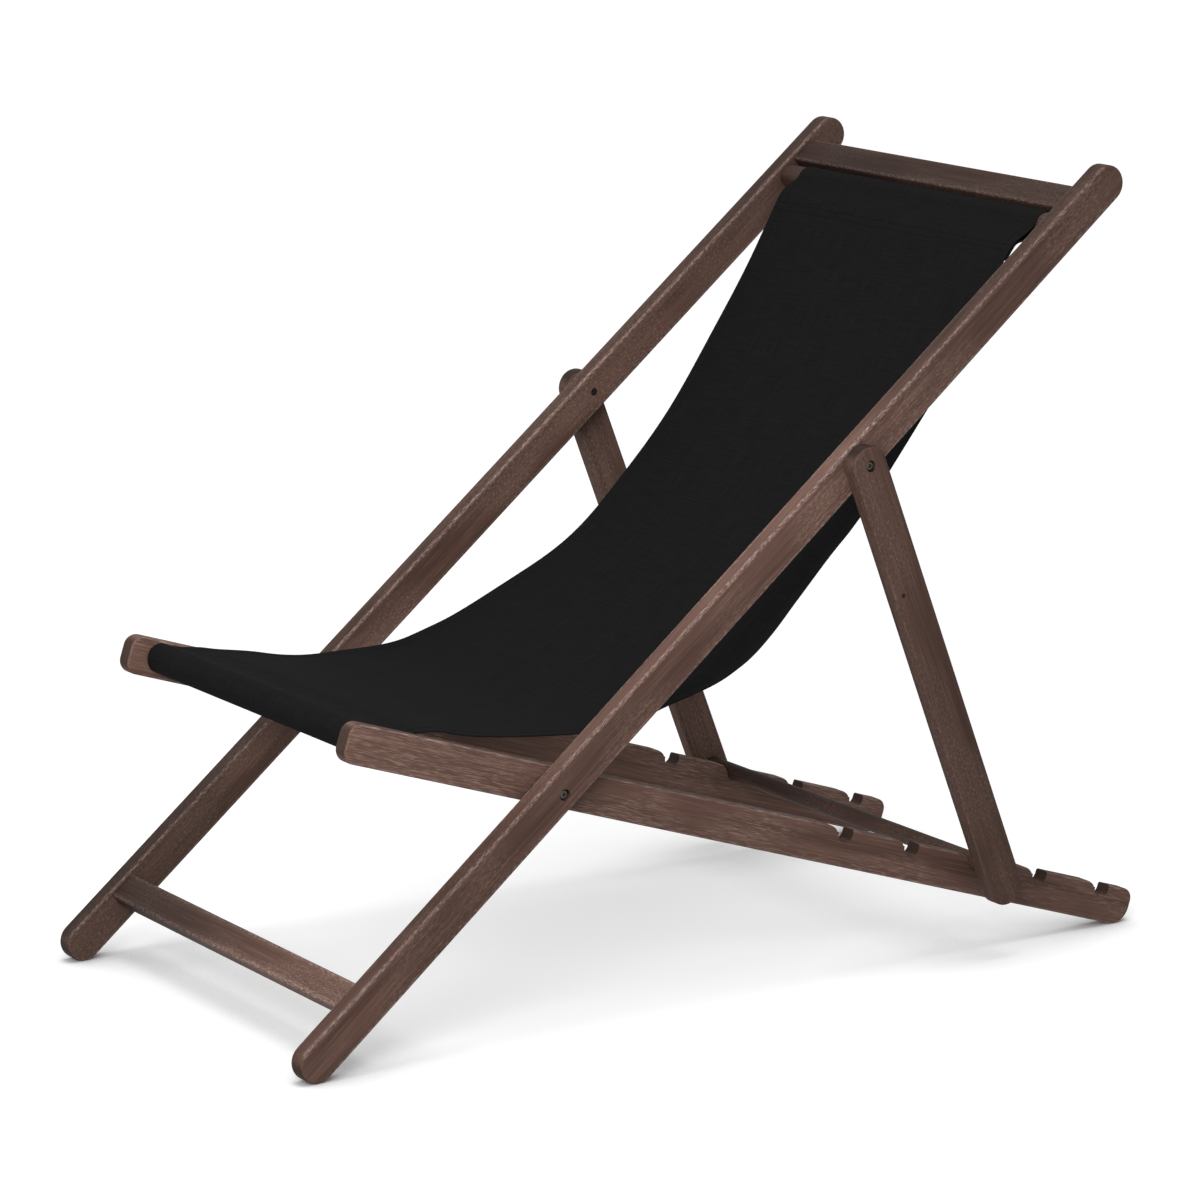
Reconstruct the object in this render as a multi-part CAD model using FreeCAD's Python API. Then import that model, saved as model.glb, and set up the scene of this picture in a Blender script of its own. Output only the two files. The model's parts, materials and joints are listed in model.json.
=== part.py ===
import FreeCAD
import Part
import math
import os

# Folding deck chair: two timber frames crossed like scissors, a prop frame that
# drops into notches, and a canvas sling that hangs between them.
# Lengths are millimetres and angles degrees. X runs across the chair, +X is the
# sitter's left, Y runs to the rear and Z up. Each timber is drawn in its own side
# view, as a station along the timber and a rise square to it, with the zero of
# both at the fold pivot, and is then turned to its slope.

# Stance
RECLINE = 39.7              # slope of the main frame above the floor

# Main frame, the long outer one that carries the sitter's back
MAIN_DEPTH = 41.0           # rail, seen from the side
MAIN_THICK = 22.0           # rail, across the chair
MAIN_HEAD_REACH = 928.0     # fold pivot to the head end
MAIN_FOOT_REACH = 400.0     # fold pivot to the foot end
MAIN_PIVOT_DROP = 3.8       # fold pivot below the middle of the rail
CROSSPIECE_DEPTH = 33.0     # along the rails
CROSSPIECE_THICK = 18.0     # square to the rails
CROSSPIECE_SETBACK = 4.5    # below the rails' front faces
HEAD_CROSSPIECE_INSET = 59.5  # its middle, from the head ends of the rails
FOOT_CROSSPIECE_INSET = 94.5  # its middle, from the foot ends of the rails
TENON_LENGTH = 14.0
TENON_SHOULDER = 4.0
SLING_ROD_DIAMETER = 27.0
SLING_ROD_INSET = 92.5      # rod axis, from the head ends of the rails
SLING_ROD_RISE = 2.7        # above the middle of the rail

# Seat frame, the short inner one with the notches
SEAT_DEPTH = 42.5
SEAT_THICK = 20.0
SEAT_REAR_REACH = 805.0     # fold pivot to the rear end, which stands on the floor
SEAT_FRONT_REACH = 258.0    # fold pivot to the front end
SEAT_PIVOT_DROP = 4.2       # fold pivot below the middle of the rail
FRONT_ROUND = 14.0
REAR_TOP_ROUND = 12.0
REAR_BOTTOM_ROUND = 22.0
FRONT_BAR_DIAMETER = 28.0
FRONT_BAR_INSET = 36.5      # bar axis behind the rails' front ends
FRONT_BAR_RISE = 3.7        # above the middle of the rail
NOTCH_COUNT = 5
NOTCH_IN_USE = 3            # counted from the front
NOTCH_PITCH = 93.0
NOTCH_END_WOOD = 37.0       # rear wall of the last notch to the rear end
NOTCH_DEPTH = 15.5
LEAD_IN_LENGTH = 13.5       # rounded front lip of a notch, along the rail
LEAD_IN_DROP = 8.0          # and down into it

# Prop frame, outside the main frame
LEG_DEPTH = 42.5
LEG_THICK = 20.0
LEG_TAIL = 41.2             # past the prop bar's axis
PROP_PIVOT_STATION = 481.0  # along the main frame
PROP_BAR_DIAMETER = 19.0

# Pivot bolts, sunk below the faces of the timber
BOLT_DIAMETER = 6.0
BOLT_HEAD_DIAMETER = 9.4
BOLT_HEAD_HEIGHT = 3.2
BOLT_HEX_SIZE = 4.0         # across the flats of the key socket
BOLT_HEX_DEPTH = 2.0
NUT_DIAMETER = 8.6
NUT_LENGTH = 6.6
NUT_BORE_DEPTH = 4.6
NUT_SLOT_WIDTH = 1.4
NUT_SLOT_DEPTH = 0.9
HEAD_RECESS_DIAMETER = 12.6
HEAD_RECESS_DEPTH = 6.0
NUT_RECESS_DIAMETER = 9.0
NUT_RECESS_DEPTH = 7.0
WASHER_DIAMETER = 18.0

# Sling
SLING_WIDTH = 446.0
SLING_THICK = 2.0
SLING_SIDE_GAP = 3.0        # between the sling and a seat rail
SLING_SLACK = 1.0           # spare length when the frames lie flat

# Finish and fits
ARRIS = 3.0                 # rounding of the rails' long edges
CROSSPIECE_ARRIS = 2.5
SMALL_ARRIS = 0.8
SIDE_GAP = 2.0              # between timbers that turn side by side
SOCKET_DEPTH = 12.0         # of a bar in its rail
GLUE_GAP = 0.1
RUNNING_GAP = 0.05          # bolt in a timber that turns on it
FACE_GAP = 0.2              # washer, head or nut beside a timber that turns
NOTCH_GAP = 0.3             # prop bar in a notch
LOOP_GAP = 0.3              # sling round a bar
FOLD_GAP = 1.0              # prop bar under the folded frames

# Drawing
TOUCHING = 1e-6             # points closer than this are one
CURVE_POINTS = 15           # on the hanging curve, evenly spaced along it
LOOP_ARCS = 3               # round a sewn loop
TIGHTEST_CURVE = 0.05       # scale of the steepest catenary looked for, as a share of the span
FLATTEST_CURVE = 40.0       # and of the flattest
SEARCH_STEPS = 60           # halvings of that range, and rounds of aiming the sling's ends

# Planes across the chair, from the middle outwards
SEAT_INNER = SLING_WIDTH / 2 + SLING_SIDE_GAP
SEAT_OUTER = SEAT_INNER + SEAT_THICK
MAIN_INNER = SEAT_OUTER + SIDE_GAP
MAIN_OUTER = MAIN_INNER + MAIN_THICK
LEG_INNER = MAIN_OUTER + SIDE_GAP
LEG_OUTER = LEG_INNER + LEG_THICK

# Stations along the main frame
HEAD_CROSSPIECE_STATION = MAIN_HEAD_REACH - HEAD_CROSSPIECE_INSET
FOOT_CROSSPIECE_STATION = FOOT_CROSSPIECE_INSET - MAIN_FOOT_REACH
SLING_ROD_STATION = MAIN_HEAD_REACH - SLING_ROD_INSET


def turned(station, rise, slope):
    """Side-view offset (y, z) of a point on a timber that lies at this slope."""
    c = math.cos(math.radians(slope))
    s = math.sin(math.radians(slope))
    return station * c - rise * s, station * s + rise * c


# Fold pivot: its height stands the rounded feet of the main frame on the floor
FOOT_CENTRE = turned(MAIN_DEPTH / 2 - MAIN_FOOT_REACH, MAIN_PIVOT_DROP, RECLINE)
PIVOT_HEIGHT = MAIN_DEPTH / 2 - FOOT_CENTRE[1]

# The seat frame's slope puts its rear bottom corners on the floor too
HEEL_STATION = SEAT_REAR_REACH - REAR_BOTTOM_ROUND
HEEL_RISE = SEAT_PIVOT_DROP - SEAT_DEPTH / 2 + REAR_BOTTOM_ROUND
SEAT_FALL = math.degrees(
    math.asin((PIVOT_HEIGHT - REAR_BOTTOM_ROUND) / math.hypot(HEEL_STATION, HEEL_RISE))
    + math.atan2(HEEL_RISE, HEEL_STATION))

# The middle of the chair's depth is the origin
HEAD_CENTRE = turned(MAIN_HEAD_REACH - MAIN_DEPTH / 2, MAIN_PIVOT_DROP, RECLINE)
REAR_TOP_CENTRE = turned(SEAT_REAR_REACH - REAR_TOP_ROUND,
                         SEAT_PIVOT_DROP + SEAT_DEPTH / 2 - REAR_TOP_ROUND, -SEAT_FALL)
FRONT_MOST = FOOT_CENTRE[0] - MAIN_DEPTH / 2
REAR_MOST = max(HEAD_CENTRE[0] + MAIN_DEPTH / 2, REAR_TOP_CENTRE[0] + REAR_TOP_ROUND)
PIVOT = (-(FRONT_MOST + REAR_MOST) / 2, PIVOT_HEIGHT)


def shifted(point, offset):
    return point[0] + offset[0], point[1] + offset[1]


def on_main(station, rise):
    """Chair (y, z) of a point of the main frame."""
    return shifted(PIVOT, turned(station, rise, RECLINE))


def on_seat(station, rise):
    """Chair (y, z) of a point of the seat frame."""
    return shifted(PIVOT, turned(station, rise, -SEAT_FALL))


# Notches, and the prop bar that lies in one of them
SLOT_WIDTH = PROP_BAR_DIAMETER + 2 * NOTCH_GAP
SEAT_TOP = SEAT_PIVOT_DROP + SEAT_DEPTH / 2
NOTCH_WALLS = [SEAT_REAR_REACH - NOTCH_END_WOOD - (NOTCH_COUNT - i) * NOTCH_PITCH
               for i in range(1, NOTCH_COUNT + 1)]
BAR_STATION = NOTCH_WALLS[NOTCH_IN_USE - 1] - SLOT_WIDTH / 2
BAR_RISE = SEAT_TOP - NOTCH_DEPTH + NOTCH_GAP + PROP_BAR_DIAMETER / 2
PROP_BAR = on_seat(BAR_STATION, BAR_RISE)

# The prop legs reach from their pivot on the main frame to that bar
PROP_PIVOT = on_main(PROP_PIVOT_STATION, MAIN_PIVOT_DROP)
LEG_REACH = math.dist(PROP_PIVOT, PROP_BAR)
LEG_FALL = math.degrees(math.atan2(PROP_PIVOT[1] - PROP_BAR[1], PROP_BAR[0] - PROP_PIVOT[0]))

# Folded flat: the seat frame lies in the main frame, and the prop bar under both
SEAT_FOLD = RECLINE + SEAT_FALL
UNDERSIDE = max(MAIN_DEPTH / 2 - MAIN_PIVOT_DROP, SEAT_DEPTH / 2 - SEAT_PIVOT_DROP)
FOLDED_DROP = MAIN_PIVOT_DROP + UNDERSIDE + PROP_BAR_DIAMETER / 2 + FOLD_GAP
PROP_FOLD = RECLINE + LEG_FALL + math.degrees(math.asin(FOLDED_DROP / LEG_REACH)) - 180.0


def vector(u, v, w=0.0):
    return FreeCAD.Vector(u, v, w)


def rounded_outline(corners):
    """Closed wire through (station, rise, radius) corners, each turned by a tangent arc."""
    turns = []
    for i, (u, v, radius) in enumerate(corners):
        here = vector(u, v)
        back = (vector(*corners[i - 1][:2]) - here).normalize()
        ahead = (vector(*corners[(i + 1) % len(corners)][:2]) - here).normalize()
        half = back.getAngle(ahead) / 2
        reach = radius / math.tan(half)
        inward = (back + ahead).normalize()
        apex = here + inward * (radius / math.sin(half) - radius)
        turns.append((here + back * reach, apex, here + ahead * reach))
    edges = []
    for i, (start, apex, end) in enumerate(turns):
        edges.append(Part.Arc(start, apex, end).toShape())
        next_start = turns[(i + 1) % len(turns)][0]
        if end.distanceToPoint(next_start) > TOUCHING:
            edges.append(Part.LineSegment(end, next_start).toShape())
    return Part.Wire(edges)


def board(corners, inner, thick):
    """Flat board: a side view carried across the chair from its inner face."""
    face = Part.Face(rounded_outline(corners))
    face.translate(vector(0, 0, inner))
    return face.extrude(vector(0, 0, thick))


def eased(solid, radius):
    """Board with the edges of its two flat faces rounded over."""
    edges = [e for e in solid.Edges if e.BoundBox.ZLength < TOUCHING]
    return solid.makeFillet(radius, edges)


def hole(station, rise, diameter, start, end):
    """Round tool across the chair, for a bore, a recess or a bar."""
    return Part.makeCylinder(diameter / 2, end - start, vector(station, rise, start))


def placed(solid, slope, at):
    """Turn a side view from its own axes to its slope on the chair."""
    c = math.cos(math.radians(slope))
    s = math.sin(math.radians(slope))
    y, z = at
    matrix = FreeCAD.Matrix(0, 0, 1, 0, c, -s, 0, y, s, c, 0, z, 0, 0, 0, 1)
    return solid.transformed(matrix, True)


def on_right(solid):
    """The matching piece on the sitter's right."""
    return solid.mirror(vector(0, 0, 0), vector(1, 0, 0))


def crosspiece_corners(station, trim):
    """Section of a crosspiece, or of its tenon when trimmed all round."""
    top = MAIN_PIVOT_DROP + MAIN_DEPTH / 2 - CROSSPIECE_SETBACK - trim
    bottom = top - CROSSPIECE_THICK + 2 * trim
    half = CROSSPIECE_DEPTH / 2 - trim
    return [(station - half, bottom), (station + half, bottom), (station + half, top), (station - half, top)]


def block(corners, start, end):
    """Square-edged prism across the chair."""
    ring = [vector(u, v, start) for u, v in corners]
    return Part.Face(Part.makePolygon(ring + ring[:1])).extrude(vector(0, 0, end - start))


def main_rail():
    """Long rail with round ends, its mortises, rod socket, pivot bores and bolt recesses."""
    half = MAIN_DEPTH / 2
    low = MAIN_PIVOT_DROP - half
    high = MAIN_PIVOT_DROP + half
    corners = [(-MAIN_FOOT_REACH, low, half), (MAIN_HEAD_REACH, low, half),
               (MAIN_HEAD_REACH, high, half), (-MAIN_FOOT_REACH, high, half)]
    rail = eased(board(corners, MAIN_INNER, MAIN_THICK), ARRIS)
    bore = BOLT_DIAMETER + 2 * RUNNING_GAP
    cuts = [hole(0, 0, bore, MAIN_INNER, MAIN_OUTER),
            hole(0, 0, HEAD_RECESS_DIAMETER, MAIN_OUTER - HEAD_RECESS_DEPTH, MAIN_OUTER),
            hole(PROP_PIVOT_STATION, MAIN_PIVOT_DROP, bore, MAIN_INNER, MAIN_OUTER),
            hole(PROP_PIVOT_STATION, MAIN_PIVOT_DROP, NUT_RECESS_DIAMETER,
                 MAIN_INNER, MAIN_INNER + NUT_RECESS_DEPTH),
            hole(SLING_ROD_STATION, MAIN_PIVOT_DROP + SLING_ROD_RISE,
                 SLING_ROD_DIAMETER + 2 * GLUE_GAP, MAIN_INNER, MAIN_INNER + SOCKET_DEPTH)]
    for station in (HEAD_CROSSPIECE_STATION, FOOT_CROSSPIECE_STATION):
        mortise = crosspiece_corners(station, TENON_SHOULDER - GLUE_GAP)
        cuts.append(block(mortise, MAIN_INNER, MAIN_INNER + TENON_LENGTH + GLUE_GAP))
    return placed(rail.cut(cuts), RECLINE, PIVOT)


def crosspiece(station):
    """Slat between the main rails, tenoned into both."""
    corners = [(u, v, CROSSPIECE_ARRIS) for u, v in crosspiece_corners(station, 0.0)]
    slat = board(corners, -MAIN_INNER, 2 * MAIN_INNER)
    tenon_end = MAIN_INNER + TENON_LENGTH
    tenons = block(crosspiece_corners(station, TENON_SHOULDER), -tenon_end, tenon_end)
    return placed(slat.fuse(tenons).removeSplitter(), RECLINE, PIVOT)


def notch(wall):
    """Cutter for one notch: upright rear wall, round floor, and a long rounded front lip."""
    floor = SEAT_TOP - NOTCH_DEPTH
    radius = SLOT_WIDTH / 2
    front = wall - SLOT_WIDTH
    lip = front - LEAD_IN_LENGTH
    lip_radius = (LEAD_IN_LENGTH ** 2 + LEAD_IN_DROP ** 2) / (2 * LEAD_IN_DROP)
    half_turn = math.asin(LEAD_IN_LENGTH / lip_radius) / 2
    lip_middle = vector(lip + lip_radius * math.sin(half_turn),
                        SEAT_TOP - lip_radius + lip_radius * math.cos(half_turn))
    over = SEAT_TOP + ARRIS
    corners = [vector(wall, over), vector(wall, floor + radius), vector(front, floor + radius),
               vector(front, SEAT_TOP - LEAD_IN_DROP), vector(lip, SEAT_TOP), vector(lip, over)]
    edges = [Part.LineSegment(corners[0], corners[1]).toShape(),
             Part.Arc(corners[1], vector(wall - radius, floor), corners[2]).toShape(),
             Part.LineSegment(corners[2], corners[3]).toShape(),
             Part.Arc(corners[3], lip_middle, corners[4]).toShape(),
             Part.LineSegment(corners[4], corners[5]).toShape(),
             Part.LineSegment(corners[5], corners[0]).toShape()]
    face = Part.Face(Part.Wire(edges))
    face.translate(vector(0, 0, SEAT_INNER - SIDE_GAP))
    return face.extrude(vector(0, 0, SEAT_THICK + 2 * SIDE_GAP))


def seat_rail():
    """Short rail with rounded corners: notched rear top edge, bar socket and bolt recess."""
    low = SEAT_TOP - SEAT_DEPTH
    corners = [(-SEAT_FRONT_REACH, low, FRONT_ROUND), (SEAT_REAR_REACH, low, REAR_BOTTOM_ROUND),
               (SEAT_REAR_REACH, SEAT_TOP, REAR_TOP_ROUND), (-SEAT_FRONT_REACH, SEAT_TOP, FRONT_ROUND)]
    rail = eased(board(corners, SEAT_INNER, SEAT_THICK), ARRIS)
    cuts = [hole(0, 0, BOLT_DIAMETER + 2 * RUNNING_GAP, SEAT_INNER, SEAT_OUTER),
            hole(0, 0, NUT_RECESS_DIAMETER, SEAT_INNER, SEAT_INNER + NUT_RECESS_DEPTH),
            hole(FRONT_BAR_INSET - SEAT_FRONT_REACH, SEAT_PIVOT_DROP + FRONT_BAR_RISE,
                 FRONT_BAR_DIAMETER + 2 * GLUE_GAP, SEAT_INNER, SEAT_INNER + SOCKET_DEPTH)]
    cuts += [notch(wall) for wall in NOTCH_WALLS]
    return placed(rail.cut(cuts), -SEAT_FALL, PIVOT)


def prop_leg():
    """Leg with round ends, bored for its pivot bolt and socketed for the prop bar."""
    half = LEG_DEPTH / 2
    end = LEG_REACH + LEG_TAIL
    corners = [(-half, -half, half), (end, -half, half), (end, half, half), (-half, half, half)]
    leg = eased(board(corners, LEG_INNER, LEG_THICK), ARRIS)
    cuts = [hole(0, 0, BOLT_DIAMETER + 2 * RUNNING_GAP, LEG_INNER, LEG_OUTER),
            hole(0, 0, HEAD_RECESS_DIAMETER, LEG_OUTER - HEAD_RECESS_DEPTH, LEG_OUTER),
            hole(LEG_REACH, 0, PROP_BAR_DIAMETER + 2 * GLUE_GAP, LEG_INNER, LEG_INNER + SOCKET_DEPTH)]
    return placed(leg.cut(cuts), -LEG_FALL, PROP_PIVOT)


def cross_bar(centre, diameter, rail_face):
    """Round bar across the chair, let into a rail at each end."""
    end = rail_face + SOCKET_DEPTH - GLUE_GAP
    bar = Part.makeCylinder(diameter / 2, 2 * end, vector(-end, *centre), vector(1, 0, 0))
    return bar.makeFillet(SMALL_ARRIS, [e for e in bar.Edges if e.BoundBox.XLength < TOUCHING])


def pivot_bolt(station, rise, head_seat, tip):
    """Bolt with a round head and a hexagon key socket."""
    head = hole(station, rise, BOLT_HEAD_DIAMETER, head_seat, head_seat + BOLT_HEAD_HEIGHT)
    top = head_seat + BOLT_HEAD_HEIGHT
    head = head.makeFillet(SMALL_ARRIS, [e for e in head.Edges if e.BoundBox.ZMin > top - TOUCHING])
    corner = BOLT_HEX_SIZE / math.sqrt(3.0)
    hexagon = [(station + corner * math.cos(math.radians(60 * i)),
                rise + corner * math.sin(math.radians(60 * i))) for i in range(6)]
    socket = block(hexagon, top - BOLT_HEX_DEPTH, top)
    shank = hole(station, rise, BOLT_DIAMETER, tip, head_seat)
    return placed(head.fuse(shank).cut(socket), RECLINE, PIVOT)


def sleeve_nut(station, rise, mouth):
    """Round nut with a blind bore and a screwdriver slot."""
    base = mouth - NUT_LENGTH
    nut = hole(station, rise, NUT_DIAMETER, base, mouth)
    nut = nut.makeFillet(SMALL_ARRIS, [e for e in nut.Edges if e.BoundBox.ZMax < base + TOUCHING])
    half = NUT_SLOT_WIDTH / 2
    side = NUT_DIAMETER / 2
    slot = block([(station - side, rise - half), (station + side, rise - half),
                  (station + side, rise + half), (station - side, rise + half)], base, base + NUT_SLOT_DEPTH)
    bore = hole(station, rise, BOLT_DIAMETER, mouth - NUT_BORE_DEPTH, mouth)
    return placed(nut.cut([bore, slot]), RECLINE, PIVOT)


def spacer_washer(station, rise, start):
    """Washer on the main rail's face that keeps two timbers apart."""
    height = SIDE_GAP - FACE_GAP
    disc = hole(station, rise, WASHER_DIAMETER, start, start + height)
    bore = hole(station, rise, BOLT_DIAMETER + 2 * RUNNING_GAP, start, start + height)
    return placed(disc.cut(bore), RECLINE, PIVOT)


def pivot_hardware():
    """Bolt, nut and washer of the fold pivot and of the prop pivot, on the left."""
    sites = {"fold": (0.0, 0.0, MAIN_OUTER - HEAD_RECESS_DEPTH,
                      SEAT_INNER + NUT_RECESS_DEPTH - FACE_GAP, MAIN_INNER - SIDE_GAP + FACE_GAP),
             "prop": (PROP_PIVOT_STATION, MAIN_PIVOT_DROP, LEG_OUTER - HEAD_RECESS_DEPTH + FACE_GAP,
                      MAIN_INNER + NUT_RECESS_DEPTH, MAIN_OUTER)}
    pieces = {}
    for name, (station, rise, head_seat, nut_mouth, washer_start) in sites.items():
        tip = nut_mouth - NUT_BORE_DEPTH + GLUE_GAP
        pieces[name + "_bolt"] = pivot_bolt(station, rise, head_seat, tip)
        pieces[name + "_nut"] = sleeve_nut(station, rise, nut_mouth)
        pieces[name + "_washer"] = spacer_washer(station, rise, washer_start)
    return pieces


def hanging_curve(front, rear, length):
    """Catenary of this length between two side-view points: its scale, lowest y and base z."""
    span = rear[0] - front[0]
    rise = rear[1] - front[1]
    chord = math.sqrt(length ** 2 - rise ** 2)
    tight = span * TIGHTEST_CURVE
    loose = span * FLATTEST_CURVE
    for _ in range(SEARCH_STEPS):
        scale = (tight + loose) / 2
        if 2 * scale * math.sinh(span / (2 * scale)) > chord:
            tight = scale
        else:
            loose = scale
    lowest = (front[0] + rear[0]) / 2 - scale * math.atanh(rise / length)
    base = front[1] - scale * math.cosh((front[0] - lowest) / scale)
    return scale, lowest, base


class SlingEnd:
    """Sewn loop at one end of the sling: it leaves its bar as a tangent, on the sitter's side."""

    def __init__(self, centre, bar_diameter, heading):
        self.centre = vector(0, *centre)
        self.inner = bar_diameter / 2 + LOOP_GAP
        self.outer = self.inner + SLING_THICK
        self.seam = math.sqrt(self.outer ** 2 - self.inner ** 2)
        self.heading = heading
        self.aim(0.0)

    def aim(self, slope):
        """Set the slope dz/dy at which the sling leaves the bar."""
        rearward = vector(0, 1, slope).normalize()
        self.along = rearward * self.heading
        self.up = vector(0, -rearward.z, rearward.y)

    def at(self, off, run):
        """Point at this distance from the bar's axis on the sitter's side, and along the sling."""
        return self.centre + self.up * off + self.along * run

    def middle(self):
        """Where the free length starts, halfway through the cloth."""
        point = self.at((self.inner + self.outer) / 2, self.seam)
        return point.y, point.z

    def wrap(self):
        """Edges round the outside of the loop, from the sitter's side to the seam below."""
        whole = 2 * math.pi - math.acos(self.inner / self.outer)
        ring = []
        for i in range(2 * LOOP_ARCS + 1):
            angle = whole * i / (2 * LOOP_ARCS)
            ring.append(self.at(self.outer * math.cos(angle), -self.outer * math.sin(angle)))
        return [Part.Arc(*ring[2 * i:2 * i + 3]).toShape() for i in range(LOOP_ARCS)]

    def eye(self):
        """Hole for the bar."""
        return Part.Wire(Part.makeCircle(self.inner, self.centre, vector(1, 0, 0)))


def sling():
    """Canvas seat: one cloth that hangs as a catenary between two sewn loops."""
    front = SlingEnd(on_seat(FRONT_BAR_INSET - SEAT_FRONT_REACH, SEAT_PIVOT_DROP + FRONT_BAR_RISE),
                     FRONT_BAR_DIAMETER, 1)
    rear = SlingEnd(on_main(SLING_ROD_STATION, MAIN_PIVOT_DROP + SLING_ROD_RISE), SLING_ROD_DIAMETER, -1)
    flat_length = SLING_ROD_STATION + SEAT_FRONT_REACH - FRONT_BAR_INSET + SLING_SLACK
    free_length = flat_length - front.seam - rear.seam
    for _ in range(SEARCH_STEPS):
        scale, lowest, base = hanging_curve(front.middle(), rear.middle(), free_length)
        for end in (front, rear):
            end.aim(math.sinh((end.middle()[0] - lowest) / scale))
    start = scale * math.sinh((front.middle()[0] - lowest) / scale)
    sides = []
    for offset in (SLING_THICK / 2, -SLING_THICK / 2):
        side = []
        for i in range(CURVE_POINTS):
            run = start + free_length * i / (CURVE_POINTS - 1)
            y = lowest + scale * math.asinh(run / scale)
            across = vector(0, -run / scale, 1).normalize() * offset
            side.append(vector(0, y, base + math.hypot(run, scale)) + across)
        curve = Part.BSplineCurve()
        curve.interpolate(side)
        sides.append(curve.toShape())
    edges = [sides[0], Part.LineSegment(rear.at(rear.outer, rear.seam), rear.at(rear.outer, 0)).toShape()]
    edges += rear.wrap() + [sides[1]] + front.wrap()
    edges.append(Part.LineSegment(front.at(front.outer, 0), front.at(front.outer, front.seam)).toShape())
    outline = Part.Wire(Part.__sortEdges__(edges))
    face = Part.makeFace([outline, front.eye(), rear.eye()], "Part::FaceMakerBullseye")
    face.translate(vector(-SLING_WIDTH / 2, 0, 0))
    return face.extrude(vector(SLING_WIDTH, 0, 0)), free_length


def build():
    """Every piece of the chair by name."""
    pairs = {"main_rail": main_rail(), "seat_rail": seat_rail(), "prop_leg": prop_leg()}
    pairs.update(pivot_hardware())
    pieces = {}
    for name, left in pairs.items():
        pieces[name + "_left"] = left
        pieces[name + "_right"] = on_right(left)
    pieces["head_crosspiece"] = crosspiece(HEAD_CROSSPIECE_STATION)
    pieces["foot_crosspiece"] = crosspiece(FOOT_CROSSPIECE_STATION)
    pieces["sling_rod"] = cross_bar(on_main(SLING_ROD_STATION, MAIN_PIVOT_DROP + SLING_ROD_RISE),
                                    SLING_ROD_DIAMETER, MAIN_INNER)
    pieces["seat_front_bar"] = cross_bar(
        on_seat(FRONT_BAR_INSET - SEAT_FRONT_REACH, SEAT_PIVOT_DROP + FRONT_BAR_RISE),
        FRONT_BAR_DIAMETER, SEAT_INNER)
    pieces["prop_bar"] = cross_bar(PROP_BAR, PROP_BAR_DIAMETER, LEG_INNER)
    pieces["sling"], free_length = sling()
    print("sling free length %.1f" % free_length)
    return pieces


os.makedirs("parts", exist_ok=True)
for node, solid in build().items():
    solid.exportStep("parts/%s.step" % node)
    print("%-20s valid %s solids %d volume %.0f" % (node, solid.isValid(), len(solid.Solids), solid.Volume))
print("fold pivot y %.3f z %.3f, turns %.3f" % (PIVOT + (SEAT_FOLD,)))
print("prop pivot y %.3f z %.3f, turns %.3f" % (PROP_PIVOT + (PROP_FOLD,)))
print("seat slope %.3f, leg slope %.3f, leg reach %.2f" % (SEAT_FALL, LEG_FALL, LEG_REACH))
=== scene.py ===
# %% [markdown]
# # A folding deck chair with a canvas sling
# The timbers, bars and bolts of this chair arrive as finished solids, already in place and
# in metres. This lesson gives them light, a camera and their finishes, and makes the one
# piece that solids are poor at: the cloth. Every step says what the real thing is first.

# %% Load the chair
import json
import math

import bpy
import numpy as np
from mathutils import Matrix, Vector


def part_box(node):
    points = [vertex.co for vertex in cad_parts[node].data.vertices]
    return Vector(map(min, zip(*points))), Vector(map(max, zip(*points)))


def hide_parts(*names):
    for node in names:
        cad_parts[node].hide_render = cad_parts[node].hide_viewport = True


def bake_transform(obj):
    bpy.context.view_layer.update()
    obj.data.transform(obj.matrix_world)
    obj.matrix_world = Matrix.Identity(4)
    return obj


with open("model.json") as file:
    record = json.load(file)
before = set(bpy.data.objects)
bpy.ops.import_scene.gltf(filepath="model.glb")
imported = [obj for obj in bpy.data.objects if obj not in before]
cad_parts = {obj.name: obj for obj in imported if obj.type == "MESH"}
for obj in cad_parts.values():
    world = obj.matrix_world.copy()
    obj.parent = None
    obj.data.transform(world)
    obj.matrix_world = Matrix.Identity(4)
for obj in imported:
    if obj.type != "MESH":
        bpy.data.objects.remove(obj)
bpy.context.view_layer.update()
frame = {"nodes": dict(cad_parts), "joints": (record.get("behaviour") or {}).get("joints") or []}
nodes = frame["nodes"]
MM = 0.001
print("pieces loaded:", len(nodes))

# %% [markdown]
# ## Camera
# The photograph was taken from in front and to the sitter's left, a little above seat
# height, with a long lens: the far rails are hardly smaller than the near ones. The place
# and lens were worked out from the straight edges of the timbers. A long lens far away was
# chosen over a short one nearby, because only that keeps the rails as parallel as they are.

# %% Camera
fold_pivot, prop_pivot = (np.array(joint["pos_m"]) for joint in frame["joints"][:2])
EYE = fold_pivot + (4.4067, -2.6172, 1.2790)    # metres
AZIMUTH = math.radians(57.24)
ELEVATION = math.radians(12.31)
PICTURE_SIDE = 1200
FOCAL_LENGTH = 4909.4           # in pixels of that picture
OPTICAL_CENTRE = (601.6, 595.2)
SENSOR = 36.0                   # mm
camera_data = bpy.data.cameras.new("photographer")
camera_data.sensor_width = SENSOR
camera_data.lens = SENSOR * FOCAL_LENGTH / PICTURE_SIDE
camera_data.shift_x = 0.5 - OPTICAL_CENTRE[0] / PICTURE_SIDE
camera_data.shift_y = OPTICAL_CENTRE[1] / PICTURE_SIDE - 0.5
camera = bpy.data.objects.new("photographer", camera_data)
camera.location = EYE
camera.rotation_euler = (math.pi / 2 - ELEVATION, 0.0, AZIMUTH)
bpy.context.scene.collection.objects.link(camera)
bpy.context.scene.camera = camera
print("lens %.1f mm" % camera_data.lens)

# %% [markdown]
# ## Helpers for finishes
# Paint charts and photographs give colours as sRGB hex, and a renderer works in linear
# light, so one function converts them. A second small function adds a shader node, sets its
# sockets and links it, which keeps each finish below readable as a list of what it does.

# %% Colour and node helpers


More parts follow.
